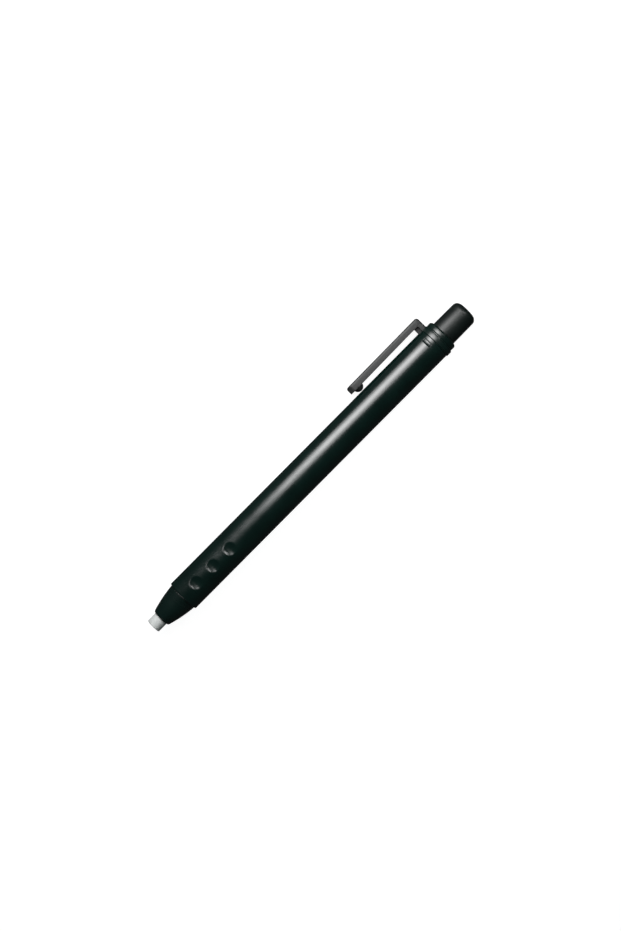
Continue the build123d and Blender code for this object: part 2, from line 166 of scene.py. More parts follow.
def pick(kind, test):
    """In edit mode, selects only the faces, edges or vertices that pass a test of their middle and normal.

    The kind "sharp" stands for edges of more than 50 degrees.
    """
    mode = {"faces": "FACE", "edges": "EDGE", "sharp": "EDGE", "verts": "VERT"}[kind]
    bpy.ops.mesh.select_mode(type=mode)
    bpy.ops.mesh.select_all(action="DESELECT")
    mesh = bmesh.from_edit_mesh(bpy.context.object.data)
    mesh.normal_update()
    found = 0
    for part in getattr(mesh, "edges" if kind == "sharp" else kind):
        if kind == "sharp" and part.calc_face_angle(0) < math.radians(50):
            continue
        if kind == "verts":
            middle, normal = part.co, part.normal
        elif kind == "faces":
            middle, normal = part.calc_center_median(), part.normal
        else:
            middle = (part.verts[0].co + part.verts[1].co) / 2
            normal = (part.verts[1].co - part.verts[0].co).normalized()
        if test(middle, normal):
            part.select_set(True)
            found += 1
    mesh.select_flush_mode()
    bmesh.update_edit_mesh(bpy.context.object.data)
    if not found:
        raise RuntimeError(f"nothing was picked on {bpy.context.object.name}")


def draw_on(stations, x, r):
    """Extrudes the selected loop from its place (x, r) to each next station, as on a lathe."""
    for next_x, next_r in stations:
        bpy.ops.mesh.extrude_region_move(TRANSFORM_OT_translate={"value": (next_x - x, 0, 0)})
        share = next_r / r
        bpy.ops.transform.resize(value=(1, share, share), center_override=(next_x, 0, 0))
        x, r = next_x, next_r
    return x, r


def close_end():
    """Closes the selected loop with a fan of faces."""
    bpy.ops.mesh.edge_face_add()
    bpy.ops.mesh.poke()


def start_turned(name, x, r, sides=SIDES):
    """Starts a turned piece with a circle round the X axis, which is left in edit mode."""
    deselect_all()
    stand = Matrix.Rotation(CLIP_ANGLE, 3, "X") @ Matrix.Rotation(QUARTER, 3, "Y")
    bpy.ops.mesh.primitive_circle_add(
        vertices=sides, radius=r, fill_type="NOTHING", location=(x, 0, 0), rotation=stand.to_euler()
    )
    piece = bpy.context.object
    piece.name = name
    piece.data.name = name
    bpy.ops.object.transform_apply(location=True, rotation=True, scale=True)
    bpy.ops.object.mode_set(mode="EDIT")
    bpy.ops.mesh.select_all(action="SELECT")
    return piece


def turned(name, stations):
    """A turned ring: the last station meets the first."""
    piece = start_turned(name, *stations[0])
    draw_on(stations[1:] + stations[:1], *stations[0])
    bpy.ops.mesh.select_all(action="SELECT")
    bpy.ops.mesh.remove_doubles(threshold=MERGE)
    deselect_all()
    return piece


def rounding(x, r, size, x_side, r_side, start, steps=5):
    """Stations round a corner at (x, r). x_side and r_side point out of the material, start is "x" or "r"."""
    middle = (x - x_side * size, r - r_side * size)
    angles = [QUARTER * step / steps for step in range(steps + 1)]
    if start == "r":
        angles.reverse()
    return [
        (middle[0] + x_side * size * math.cos(angle), middle[1] + r_side * size * math.sin(angle))
        for angle in angles
    ]


def modify(piece, kind, **settings):
    """Adds a modifier and applies it."""
    take_up(piece)
    modifier = piece.modifiers.new(kind.title(), kind)
    for name, value in settings.items():
        setattr(modifier, name, value)
    bpy.ops.object.modifier_apply(modifier=modifier.name)


def break_edges(piece, width, angle=50, segments=2):
    """Rounds every edge that is sharper than the angle."""
    modify(
        piece, "BEVEL", width=width, segments=segments, limit_method="ANGLE",
        angle_limit=math.radians(angle), use_clamp_overlap=True,
    )


def join_in(piece, extra):
    """Unites another solid with the piece."""
    modify(piece, "BOOLEAN", operation="UNION", solver="EXACT", object=extra)
    bpy.data.objects.remove(extra)


def cut_out(piece, tool):
    """Cuts the shape of another solid out of the piece."""
    modify(piece, "BOOLEAN", operation="DIFFERENCE", solver="EXACT", object=tool)
    bpy.data.objects.remove(tool)


def shaped(name):
    """The new object, named and settled."""
    made = bpy.context.object
    made.name = name
    settle(made)
    return made


def helix(name, corners, size, r, pitch, start, turns, steps=64):
    """A ridge or wire wound round the X axis, closed at both ends."""
    deselect_all()
    bpy.ops.mesh.primitive_circle_add(
        vertices=corners, radius=size, fill_type="NOTHING", location=(start, r, 0), rotation=(0, 0, -QUARTER)
    )
    wound = shaped(name)
    steps = int(steps * turns)
    modify(
        wound, "SCREW", axis="X", angle=math.tau * turns, screw_offset=pitch * turns, steps=steps,
        render_steps=steps, use_merge_vertices=False, use_normal_calculate=True,
    )
    bpy.ops.object.mode_set(mode="EDIT")
    bpy.ops.mesh.select_all(action="DESELECT")
    bpy.ops.mesh.select_mode(type="EDGE")
    bpy.ops.mesh.select_non_manifold(extend=False)
    bpy.ops.mesh.fill_holes(sides=0)
    deselect_all()
    return wound


def add_to(piece, extra):
    """Joins another mesh to the piece as it is."""
    take_up(piece)
    extra.select_set(True)
    bpy.ops.object.join()


def block(name, x0, x1, y0, y1, width):
    """A plain block between two X and two heights, as wide as given, before it is shaped."""
    deselect_all()
    bpy.ops.mesh.primitive_cube_add(
        size=1, location=((x0 + x1) / 2, (y0 + y1) / 2, 0), scale=(x1 - x0, y1 - y0, width)
    )
    return shaped(name)


def rod(name, x0, x1, r):
    """A round rod on the X axis, for a cut."""
    deselect_all()
    bpy.ops.mesh.primitive_cylinder_add(
        vertices=SIDES, radius=r, depth=x1 - x0, location=((x0 + x1) / 2, 0, 0), rotation=(0, QUARTER, 0)
    )
    return shaped(name)


def roll(piece, angle):
    """Turns a piece round the axis. The ring and clip are shaped with the clip's side at +Y."""
    piece.data.transform(Matrix.Rotation(angle, 4, "X"))


def tidy_mesh(piece):
    """Merges doubles, turns the faces outwards and shades the mesh smooth up to 32 degrees."""
    open_mesh(piece)
    bpy.ops.mesh.remove_doubles(threshold=MERGE)
    bpy.ops.mesh.normals_make_consistent(inside=False)
    bpy.ops.object.mode_set(mode="OBJECT")
    bpy.ops.object.shade_smooth_by_angle(angle=math.radians(32))


def dress(piece, finish):
    """Gives the piece a finish by its name, and no other."""
    piece.data.materials.clear()
    piece.data.materials.append(finish_of(finish))


def hand_over(piece, finish, body, slot, *nodes):
    """Tidies the piece, gives it its finish and the body that carries it, and hides the nodes that it stands for.
    """
    tidy_mesh(piece)
    dress(piece, finish)
    if body:
        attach(piece, body)
    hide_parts(*nodes)


def towards(degrees):
    """The direction from the axis to the camera, turned towards the clip by so many degrees."""
    angle = math.radians(degrees)
    return SIDE_WAY * math.cos(angle) + CLIP_WAY * math.sin(angle)


def area_lamp(name, middle, way, along, size_along, size_up, radiance):
    """A soft panel that shines along a direction, with one side along another."""
    lamp = bpy.data.lights.new(name, "AREA")
    lamp.shape = "RECTANGLE"
    lamp.size, lamp.size_y = size_along, size_up
    lamp.energy = radiance * math.pi * size_along * size_up
    holder = bpy.data.objects.new(name, lamp)
    bpy.context.scene.collection.objects.link(holder)
    back = -way.normalized()
    across = (along - along.dot(back) * back).normalized()
    turn = Matrix((across, back.cross(across), back)).transposed()
    holder.matrix_world = Matrix.Translation(middle) @ turn.to_4x4()


class Board:
    """The nodes of one material, wired up by short calls."""

    def __init__(self, name):
        """Starts a material with its Principled shader and object coordinates."""
        self.material = bpy.data.materials.new(name)
        self.material.use_nodes = True
        self.tree = self.material.node_tree
        self.shader = self.tree.nodes["Principled BSDF"]
        self.place = self.tree.nodes.new("ShaderNodeTexCoord").outputs["Object"]

    def wire(self, source, target):
        """Links one socket to another."""
        self.tree.links.new(source, target)

    def noise(self, scale, detail, stretch=(1, 1, 1)):
        """Noise at so many swells a metre, stretched along the axes."""
        mapping = self.tree.nodes.new("ShaderNodeMapping")
        mapping.inputs["Scale"].default_value = stretch
        noise = self.tree.nodes.new("ShaderNodeTexNoise")
        noise.inputs["Scale"].default_value = scale
        noise.inputs["Detail"].default_value = detail
        self.wire(self.place, mapping.inputs["Vector"])
        self.wire(mapping.outputs["Vector"], noise.inputs["Vector"])
        return noise.outputs["Fac"]

    def between(self, source, low, high):
        """Maps the middle of a pattern's range onto low to high."""
        mapped = self.tree.nodes.new("ShaderNodeMapRange")
        for name, value in (("From Min", 0.3), ("From Max", 0.7), ("To Min", low), ("To Max", high)):
            mapped.inputs[name].default_value = value
        self.wire(source, mapped.inputs["Value"])
        return mapped.outputs["Result"]

    def tones(self, source, *stops):
        """A colour ramp of (place, colour) stops."""
        ramp = self.tree.nodes.new("ShaderNodeValToRGB")
        elements = ramp.color_ramp.elements
        while len(elements) < len(stops):
            elements.new(0.5)
        for element, (place, colour) in zip(elements, stops):
            element.position = place
            element.color = (*colour[:3], 1)
        self.wire(source, ramp.inputs["Fac"])
        return ramp.outputs["Color"]

    def bumps(self, source, height, under=None):
        """Raises the surface by a pattern, in metres, on top of another bump."""
        bump = self.tree.nodes.new("ShaderNodeBump")
        bump.inputs["Strength"].default_value = 1.0
        bump.inputs["Distance"].default_value = height
        self.wire(source, bump.inputs["Height"])
        if under:
            self.wire(under, bump.inputs["Normal"])
        return bump.outputs["Normal"]

    def set(self, name, value):
        """Sets or wires one socket of the shader."""
        if isinstance(value, bpy.types.NodeSocket):
            self.wire(value, self.shader.inputs[name])
        else:
            self.shader.inputs[name].default_value = value


def shade(colour, share):
    """A colour made lighter or darker."""
    return tuple(part * share for part in colour[:3])


def moulded_plastic(name, colour, roughness, grain_height, ior=1.5):
    """Satin moulded plastic: a fine grain, faint flow lines along the part and rubbed patches."""
    board = Board(name)
    patches = board.noise(160, 4)
    grain = board.noise(9000, 2)
    flow = board.noise(700, 3, stretch=(0.08, 1, 1))
    board.set("Base Color", board.tones(patches, (0.3, shade(colour, 0.82)), (0.7, shade(colour, 1.18))))
    board.set("Roughness", board.between(patches, roughness - 0.035, roughness + 0.035))
    board.set("Normal", board.bumps(flow, grain_height, board.bumps(grain, grain_height * 0.5)))
    board.set("IOR", ior)
    return board.material


def rubber(name, colour, smudge):
    """Soft eraser rubber: matt, with fine pores, draw lines along the stick and grey smudges."""
    board = Board(name)
    smudges = board.noise(420, 5)
    pores = board.noise(5200, 3)
    lines = board.noise(2600, 2, stretch=(0.05, 1, 1))
    board.set("Base Color", board.tones(smudges, (0.36, smudge), (0.52, colour), (0.8, shade(colour, 1.04))))
    board.set("Roughness", board.between(pores, 0.62, 0.78))
    board.set("Normal", board.bumps(lines, 20 * MICRON, board.bumps(pores, 12 * MICRON)))
    board.set("Subsurface Weight", 0.05)
    board.set("Subsurface Radius", (0.001, 0.001, 0.0009))
    board.set("Subsurface Scale", 0.6)
    return board.material


def turned_metal(name, colour, roughness):
    """Turned or drawn metal: fine rings round the axis and a little tarnish."""
    board = Board(name)
    rings = board.noise(9000, 2, stretch=(1, 0.03, 0.03))
    tarnish = board.noise(900, 4)
    board.set("Base Color", board.tones(tarnish, (0.35, shade(colour, 0.72)), (0.65, colour)))
    board.set("Roughness", board.between(tarnish, roughness + 0.1, roughness - 0.05))
    board.set("Normal", board.bumps(rings, 6 * MICRON))
    board.set("Metallic", 1.0)
    return board.material


def number_value(name, about, default, least=0.0, **options):
    """A number that a user can change."""
    return bpy.props.FloatProperty(name=name, description=about, default=default, min=least, **options)


def length_value(name, about, default):
    """A length in millimetres that a user can change."""
    return number_value(name, about, default, precision=3)


def colour_value(name, about, default):
    """A colour that a user can change."""
    return bpy.props.FloatVectorProperty(
        name=name, description=about, default=default, size=3, min=0.0, max=1.0, subtype="COLOR"
    )


def share_value(name, about, default):
    """A share from 0 to 1 that a user can change."""
    return number_value(name, about, default, max=1.0, subtype="FACTOR")


class HolderFinishes(bpy.types.PropertyGroup):
    """Colours and gloss of the holder's plastics, rubber and metals."""

    barrel_colour: colour_value("Barrel", "Black of the barrel, faintly green", (0.001, 0.0068, 0.0055))
    nose_colour: colour_value("Nose", "Black of the nose cone", (0.001, 0.0068, 0.0055))
    button_colour: colour_value("Button", "Grey black of the button", (0.003, 0.0055, 0.005))
    clip_colour: colour_value("Clip", "Dark grey of the clip", (0.012, 0.0135, 0.0135))
    eraser_colour: colour_value("Eraser", "White of the stick", (0.5, 0.515, 0.508))
    smudge_colour: colour_value("Smudges", "Grey of the rubbed marks on the stick", (0.38, 0.395, 0.39))
    acetal_colour: colour_value("Acetal", "Natural acetal of the chuck", (0.8, 0.79, 0.74))
    tube_colour: colour_value("Tube", "White of the magazine tube", (0.74, 0.75, 0.74))
    retainer_colour: colour_value("Retainer", "Grey of the soft retainer", (0.16, 0.16, 0.16))
    brass_colour: colour_value("Brass", "Colour of the clutch ring", (0.78, 0.58, 0.28))
    wire_colour: colour_value("Wire", "Colour of the spring wire", (0.55, 0.55, 0.54))
    barrel_gloss: share_value("Barrel roughness", "How rough the barrel's skin is", 0.22)
    nose_gloss: share_value("Nose roughness", "How rough the nose cone's skin is", 0.28)
    ring_gloss: share_value("Ring roughness", "How rough the skin of the ring and the collar is", 0.3)
    button_gloss: share_value("Button roughness", "How rough the button's skin is", 0.42)
    clip_gloss: share_value("Clip roughness", "How rough the clip's skin is", 0.44)


class HolderBarrel(bpy.types.PropertyGroup):
    """Sizes of the barrel, in millimetres."""

    front_round: length_value("Front rounding", "Radius of the barrel's front rim", 0.3)
    wall_bore: length_value("Bore", "Radius of the barrel's bore", 4.3)
    front_bore: length_value("Front bore", "Radius of the bore that takes the nose", 4.7)
    front_bore_depth: length_value("Front bore depth", "Depth of the front bore", 18.75)
    rear_bore: length_value("Rear bore", "Radius of the bore that takes the collar", 5.1)
    rear_bore_depth: length_value("Rear bore depth", "Depth of the rear bore", 7.0)
    dimple_first: length_value("First dimple", "From the front rim to the first dimple", 6.34)
    dimple_pitch: length_value("Dimple pitch", "From one dimple to the next", 7.68)
    dimple_radius: length_value("Dimple radius", "Radius of a dimple's rim", 2.15)
    dimple_depth: length_value("Dimple depth", "Depth of a dimple", 0.56)
    window_from_rear: length_value("Window place", "From the barrel's rear end to a window", 1.05)
    window_length: length_value("Window length", "Length of a window along the barrel", 1.55)
    edge: length_value("Edges", "Rounding of the sharp edges", 0.05)


class HolderFittings(bpy.types.PropertyGroup):
    """Sizes of the nose, stick, button and spring, in millimetres."""

    nose_bulge: length_value("Nose bulge", "How far the nose's side bows out", 0.285)
    nose_face: length_value("Nose face", "Radius of the nose's front face", 3.15)
    nose_bore: length_value("Nose bore", "Radius of the hole for the stick", 2.62)
    thread_depth: length_value("Thread depth", "Height of the thread's ridge", 0.14)
    thread_pitch: length_value("Thread pitch", "Advance of the thread in a turn", 1.25)
    stick_edge: length_value("Stick edge", "Rounding of the stick's worn edge", 0.28)
    button_end: length_value("Button rounding", "Radius of the button's end", 1.9)
    wire: length_value("Wire", "Radius of the spring's wire", 0.2)
    coils: number_value("Coils", "Turns of the spring", 7.5, 1.0)


class HolderClip(bpy.types.PropertyGroup):
    """Sizes of the clip and of the ring that carries it, in millimetres."""

    width: length_value("Width", "Width of the clip", 4.2)
    root_thickness: length_value("Root", "Thickness of the clip's root along the barrel", 1.8)
    root_corner: length_value("Corner", "Rounding of the clip's rear corner", 1.0)
    root_gap: length_value("Root gap", "Height of the gap under the clip at its root", 1.94)
    tip_gap: length_value("Tip gap", "Height of the gap under the clip at its tip", 1.54)
    root_bar: length_value("Bar", "Thickness of the bar at its root", 2.29)
    tip_bar: length_value("Tip bar", "Thickness of the bar at its tip", 2.46)
    gusset: length_value("Gusset", "Length of the gusset in front of the root", 1.45)
    gusset_width: length_value("Gusset width", "Width of the gusset", 1.1)
    gusset_gap: length_value("Gusset gap", "Height of the gusset above the barrel", 0.02)
    ball: length_value("Ball", "Radius of the ball under the tip", 1.8)
    ball_gap: length_value("Ball gap", "Height of the ball above the barrel", 0.14)
    ball_from_tip: length_value("Ball place", "From the tip to the ball", 3.28)
    outer_edge: length_value("Outer edges", "Rounding of the clip's outer edges", 0.75)
    edge: length_value("Edges", "Rounding of the clip's other edges", 0.22)
    seat_depth: length_value("Seat", "Depth of the ring's seat for the clip's foot", 0.44)
    ring_bore: length_value("Ring bore", "Radius of the ring's hole", 5.23)
    ring_edge: length_value("Ring edges", "Rounding of the ring's edges", 0.25)


class HolderStage(bpy.types.PropertyGroup):
    """The camera, lamps and table."""

    focal: number_value("Lens", "Focal length", 72.0, 20.0, unit="CAMERA")
    sensor: number_value("Sensor", "Long side of the sensor", 36.0, 5.0)
    frame_height: length_value("Frame", "Height of the picture at the object", 300.7)
    aim_x: length_value("Aim", "Place along the axis at the picture's middle", 18.14)
    aim_r: length_value("Aim height", "Place towards the clip at the picture's middle", 0.51)
    lean: number_value("Lean", "Turn of the axis above the horizontal", math.radians(45.22), subtype="ANGLE")
    key_light: number_value("Key", "Radiance of the key light", 16.5)
    front_light: number_value("Front", "Radiance of the front light", 0.4)
    rear_light: number_value("Rear", "Radiance of the rear light", 16.0)
    nose_light: number_value("Nose", "Radiance of the nose light", 5.0)
    room_light: number_value("Room", "Brightness of the room", 0.06)
    room_colour: colour_value("Room colour", "Colour of the room's light", (0.75, 1.0, 0.95))
    table_glow: number_value("Table", "How much the table glows in the picture", 0.95)
    table_in_gloss: number_value("Table in gloss", "How much the table glows in glossy surfaces", 0.02)
    table_white: share_value("Table white", "Added reflectance of the table in the picture", 0.225)
    table_dark: share_value("Table dark", "Reflectance of the table to all other light", 0.025)


def finish_of(name):
    """A finish by its name, made once from the settings."""
    if name in bpy.data.materials:
        return bpy.data.materials[name]
    look = bpy.context.scene.holder_finishes
    # Maker, colour, roughness and, for plastics, the height of the grain and the index of refraction
    makers = {
        "barrel satin": (moulded_plastic, look.barrel_colour, look.barrel_gloss, 1.6 * MICRON),
        "ring satin": (moulded_plastic, look.barrel_colour, look.ring_gloss, 2 * MICRON),
        "nose satin": (moulded_plastic, look.nose_colour, look.nose_gloss, 2 * MICRON),
        "button satin": (moulded_plastic, look.button_colour, look.button_gloss, 2.5 * MICRON, 1.42),
        "clip satin": (moulded_plastic, look.clip_colour, look.clip_gloss, 4 * MICRON, 1.41),
        "acetal": (moulded_plastic, look.acetal_colour, 0.38, 2 * MICRON, 1.48),
        "tube plastic": (moulded_plastic, look.tube_colour, 0.42, 3 * MICRON),
        "eraser rubber": (rubber, look.eraser_colour, look.smudge_colour),
        "retainer rubber": (rubber, look.retainer_colour, shade(look.retainer_colour, 0.8)),
        "turned brass": (turned_metal, look.brass_colour, 0.22),
        "spring wire": (turned_metal, look.wire_colour, 0.25),
    }
    maker, *settings = makers[name]
    return maker(name, *settings)


class HOLDER_OT_barrel(bpy.types.Operator):
    """Turns the barrel, presses the finger dimples and cuts the snap windows"""

    bl_idname = "holder.barrel"
    bl_label = "Barrel"

    def execute(self, context):
        """Builds the barrel."""
        size = context.scene.holder_barrel
        front, rear = front_of("barrel"), rear_of("barrel")
        body_r, rear_r = MOUNTS["barrel_sleeve"]["dims"]["r_mm"] * MM, radius_of("barrel")
        front_bore, bore, rear_bore = size.front_bore * MM, size.wall_bore * MM, size.rear_bore * MM
        front_bore_end, rear_bore_end = front + size.front_bore_depth * MM, rear - size.rear_bore_depth * MM
        window_front, window_rear = window_ends()

        # The origin is at the middle of the plain cylinder, and behind it the barrel widens a little
        cone_start = -front
        swell = (rear_r - body_r) / (rear - cone_start)

        # Short steps give the grip a fine grid, with a loop through the middle of each dimple
        pitch_steps, tail_steps = 30, 12
        step = size.dimple_pitch * MM / pitch_steps
        first = front + size.dimple_first * MM
        lead_steps = int((size.dimple_first * MM - size.front_round * MM) / step)
        grip_steps = lead_steps + 2 * pitch_steps + tail_steps
        grip = [(first + (count - lead_steps) * step, body_r) for count in range(grip_steps)]
        skin = rounding(front, body_r, size.front_round * MM, -1, 1, "x")
        skin += grip
        skin += [(cone_start * share, body_r) for share in (-0.2, 0.0, 0.25, 0.5, 0.75, 1.0)]
        for x in (0.5 * (cone_start + window_front), window_front, window_rear):
            skin.append((x, body_r + swell * (x - cone_start)))
        skin.append((rear, rear_r))
        inside = [
            (rear, rear_bore), (window_rear, rear_bore), (window_front, rear_bore),
            (rear_bore_end, rear_bore), (rear_bore_end, bore), (front_bore_end, bore),
            (front_bore_end, front_bore), (front, front_bore),
        ]
        barrel = start_turned("barrel_shell", front, front_bore)
        last = draw_on(skin, front, front_bore)
        self.press_dimples(size, first, body_r)
        pick("edges", lambda middle, way: middle.x > rear - NEAR and abs(way.x) < 0.5)
        draw_on(inside, *last)
        bpy.ops.mesh.select_all(action="SELECT")
        bpy.ops.mesh.remove_doubles(threshold=MERGE)
        self.cut_windows(window_front, window_rear, rear_bore)
        tidy_mesh(barrel)
        break_edges(barrel, size.edge * MM)
        hand_over(barrel, "barrel satin", "barrel", "barrel_black", "barrel")
        return {"FINISHED"}

    def press_dimples(self, size, first, body_r):
        """Presses three rows of round dimples into the grip."""
        for row in range(3):
            angle = CLIP_ANGLE + QUARTER + row * math.tau / 3
            outward = Vector((0, math.cos(angle), math.sin(angle)))
            for place in range(3):
                spot = outward * body_r + AXIS_WAY * (first + place * size.dimple_pitch * MM)
                pick("verts", lambda middle, way: (middle - spot).length < NEAR)
                bpy.ops.transform.translate(
                    value=-outward * size.dimple_depth * MM,
                    use_proportional_edit=True,
                    proportional_edit_falloff="INVERSE_SQUARE",
                    proportional_size=size.dimple_radius * MM,
                )

    def cut_windows(self, window_front, window_rear, rear_bore):
        """Opens one window on each side of the clip and gives it walls."""
        for side in (-1, 1):

            def in_window(middle, normal):
                facing = middle.yz.length > rear_bore * 0.99 and abs(normal.x) < 0.5
                return window_front < middle.x < window_rear and facing and beside_clip(middle, side)

            pick("faces", in_window)
            bpy.ops.mesh.delete(type="FACE")
            bpy.ops.mesh.select_all(action="DESELECT")
            bpy.ops.mesh.select_mode(type="EDGE")
            bpy.ops.mesh.select_non_manifold(extend=False)
            bpy.ops.mesh.bridge_edge_loops()


class HOLDER_OT_nose(bpy.types.Operator):
    """Turns the nose cone with its threaded spigot"""

    bl_idname = "holder.nose"
    bl_label = "Nose cone"

    def execute(self, context):
        """Builds the nose cone."""
        size = context.scene.holder_fittings
        front, rear = front_of("nose_cone"), rear_of("nose_cone")
        step = front_of("barrel")
        base_r = radius_of("nose_cone")
        face_r, bore_r = size.nose_face * MM, size.nose_bore * MM
        face_round, bow_steps = 0.28 * MM, 24
        spigot_r, chamfer = 4.62 * MM, 0.25 * MM
        room_r, room_front = 4.1 * MM, step - 1.3 * MM
        flange_r, flange_front, flange_rear = 3.38 * MM, front + 4.6 * MM, front + 5.35 * MM
        bush_r, bush_front = 3.03 * MM, front + 1.6 * MM
        stations = rounding(front, face_r, face_round, -1, 1, "x", 4)
        for count in range(1, bow_steps + 1):
            share = count / bow_steps
            bow = 4 * size.nose_bulge * MM * share * (1 - share)
            stations.append((front + share * (step - front), face_r + share * (base_r - face_r) + bow))
        stations += [
            (step, spigot_r), (rear - chamfer, spigot_r), (rear, spigot_r - chamfer), (rear, room_r),
            (room_front, room_r), (flange_rear, flange_r), (flange_front, flange_r), (flange_front, bush_r),
            (bush_front, bush_r), (bush_front, bore_r), (front, bore_r),
        ]
        nose = turned("nose_shell", stations)
        break_edges(nose, 0.05 * MM)
        pitch, thread_start, thread_length = size.thread_pitch * MM, step + 0.6 * MM, rear - step - 1.5 * MM
        ridge = size.thread_depth * MM
        add_to(nose, helix("nose_thread", 3, ridge, spigot_r, pitch, thread_start, thread_length / pitch))
        hand_over(nose, "nose satin", "nose", "nose_black", "nose_cone")
        return {"FINISHED"}


class HOLDER_OT_stick(bpy.types.Operator):
    """Draws the eraser stick with its worn edge"""

    bl_idname = "holder.stick"
    bl_label = "Eraser stick"

    def execute(self, context):
        """Builds the eraser stick."""
        edge = context.scene.holder_fittings.stick_edge * MM
        front, rear = front_of("eraser_stick"), rear_of("eraser_stick")
        r = radius_of("eraser_stick")
        face_r, wear = r - edge - 0.6 * MM, 0.015 * MM
        stick = start_turned("eraser_rod", front, face_r, 96)
        stations = [(front + wear, r - edge - 0.3 * MM)]
        stations += rounding(front + 2 * wear, r, edge, -1, 1, "x")
        stations += [(front + count * MM, r) for count in (1, 2, 3, 4, 6, 10, 30, 60)]
        stations += rounding(rear, r, edge * 0.5, 1, 1, "r", 3)
        stations += [(rear, r * 0.6)]
        draw_on(stations, front, face_r)
        close_end()
        pick("edges", lambda middle, way: middle.x < front + NEAR and abs(way.x) < 0.5)
        close_end()
        hand_over(stick, "eraser rubber", "eraser", "eraser_white", "eraser_stick")
        return {"FINISHED"}


class HOLDER_OT_collar(bpy.types.Operator):
    """Turns the end collar and raises the two hooks that stand in the barrel's windows"""

    bl_idname = "holder.collar"
    bl_label = "End collar"

    def execute(self, context):
        """Builds the end collar."""
        front, rear = front_of("end_collar"), rear_of("end_collar")
        barrel_rear = rear_of("barrel")
        window_front, window_rear = window_ends()
        spigot_r, neck_r, head_r = 5.05 * MM, 5.2 * MM, radius_of("end_collar")
        skirt_r, well_r, hole_r = spigot_r - 0.66 * MM, 4.6 * MM, 3.28 * MM
        neck_rear, well_floor = rear - 2.2 * MM, rear - 6.0 * MM
        web = well_floor - 1.5 * MM
        groove, groove_half, groove_depth = neck_rear + 0.25 * MM, 0.125 * MM, 0.12 * MM
        chamfer, play = 0.45 * MM, 0.06 * MM
        hook_front, hook_rear = window_front + play, window_rear - play
        hook_ramp = hook_front + 0.7 * MM
        stations = [
            (front, skirt_r), (front, spigot_r), (hook_front, spigot_r), (hook_ramp, spigot_r),
            (hook_rear, spigot_r), (barrel_rear, spigot_r), (barrel_rear, neck_r), (neck_rear, neck_r),
            (neck_rear, head_r), (groove, head_r), (groove + groove_half, head_r - groove_depth),
            (groove + 2 * groove_half, head_r), (rear - chamfer, head_r), (rear, head_r - chamfer),
            (rear, well_r), (well_floor, well_r), (well_floor, hole_r), (web, hole_r), (web, skirt_r),
        ]
        collar = turned("collar_shell", stations)
        open_mesh(collar)
        bpy.ops.mesh.normals_make_consistent(inside=False)

        # The hooks end a little below the barrel's skin, and slope down to half their height in front
        lift = radius_of("barrel") - 0.1 * MM - spigot_r
        lip_share = (spigot_r + lift / 2) / (spigot_r + lift)
        for side in (-1, 1):

            def on_hook(middle, normal):
                outside = middle.yz.length > spigot_r * 0.99
                return hook_front < middle.x < hook_rear and outside and beside_clip(middle, side, 1)

            def on_lip(middle, normal):
                return middle.x < hook_front + NEAR and middle.yz.length > spigot_r + lift * 0.9

            pick("faces", on_hook)
            bpy.ops.mesh.extrude_region_shrink_fatten(TRANSFORM_OT_shrink_fatten={"value": lift})
            pick("verts", on_lip)
            bpy.ops.transform.resize(value=(1, lip_share, lip_share), center_override=(hook_front, 0, 0))
        break_edges(collar, 0.05 * MM, angle=35)
        hand_over(collar, "ring satin", "barrel", "barrel_black", "end_collar")
        return {"FINISHED"}


class HOLDER_OT_button(bpy.types.Operator):
    """Turns the push button, a cap with a socket for the tube"""

    bl_idname = "holder.button"
    bl_label = "Push button"

    def execute(self, context):
        """Builds the push button."""
        size = context.scene.holder_fittings
        front, rear = front_of("push_button"), rear_of("push_button")
        r = radius_of("push_button")
        end_r, lip = r - 0.08 * MM, 0.2 * MM
        hollow_r, socket_r, skirt_r = 2.9 * MM, 3.22 * MM, 3.6 * MM
        socket_front, inner_floor = front + 2.7 * MM, rear - 1.8 * MM
        socket_rear = socket_front + 5.0 * MM
        stations = [
            (socket_rear, hollow_r), (socket_rear, socket_r), (socket_front, socket_r),
            (socket_front, skirt_r), (front, skirt_r), (front, r - lip), (front + lip, r),
            (front + 2.2 * MM, r), (front + 6 * MM, r - 0.03 * MM),
        ]
        stations += rounding(rear, end_r, size.button_end * MM, 1, 1, "r", 10)
        stations += [(rear, 1.6 * MM), (rear, 0.6 * MM)]
        button = start_turned("button_cap", inner_floor, hollow_r)
        draw_on(stations, inner_floor, hollow_r)
        close_end()

        def on_floor(middle, way):
            inside = middle.yz.length < hollow_r + 0.1 * MM and abs(way.x) < 0.5
            return inside and abs(middle.x - inner_floor) < NEAR

        pick("edges", on_floor)
        close_end()
        break_edges(button, 0.05 * MM)
        hand_over(button, "button satin", "button", "button_black", "push_button")
        return {"FINISHED"}


class HOLDER_OT_ring(bpy.types.Operator):
    """Turns the black ring behind the barrel and cuts the seat for the clip's foot"""

    bl_idname = "holder.ring"
    bl_label = "Clip ring"

    def execute(self, context):
        """Builds the ring."""
        size = context.scene.holder_clip
        front, rear, r = front_of("clip_ring"), rear_of("clip_ring"), radius_of("clip_ring")
        edge, bore = size.ring_edge * MM, size.ring_bore * MM
        floor_r = r - size.seat_depth * MM
        ring = turned(
            "ring_band", [(front, bore)] + rounding(front, r, edge, -1, 1, "x", 4)
            + rounding(rear, r, edge, 1, 1, "r", 4) + [(rear, bore)],
        )
        roll(ring, -CLIP_ANGLE)
        seat_rear, seat_width = rear_of("clip_root") + SEAT_PLAY, size.width * MM + 2 * SEAT_PLAY
        seat = block("seat", front - MM, seat_rear, bore - MM, r + MM, seat_width)
        cut_out(seat, rod("seat_floor", front - 2 * MM, rear + 2 * MM, floor_r))
        cut_out(ring, seat)
        roll(ring, CLIP_ANGLE)
        hand_over(ring, "ring satin", "barrel", "barrel_black", "clip_ring")
        return {"FINISHED"}


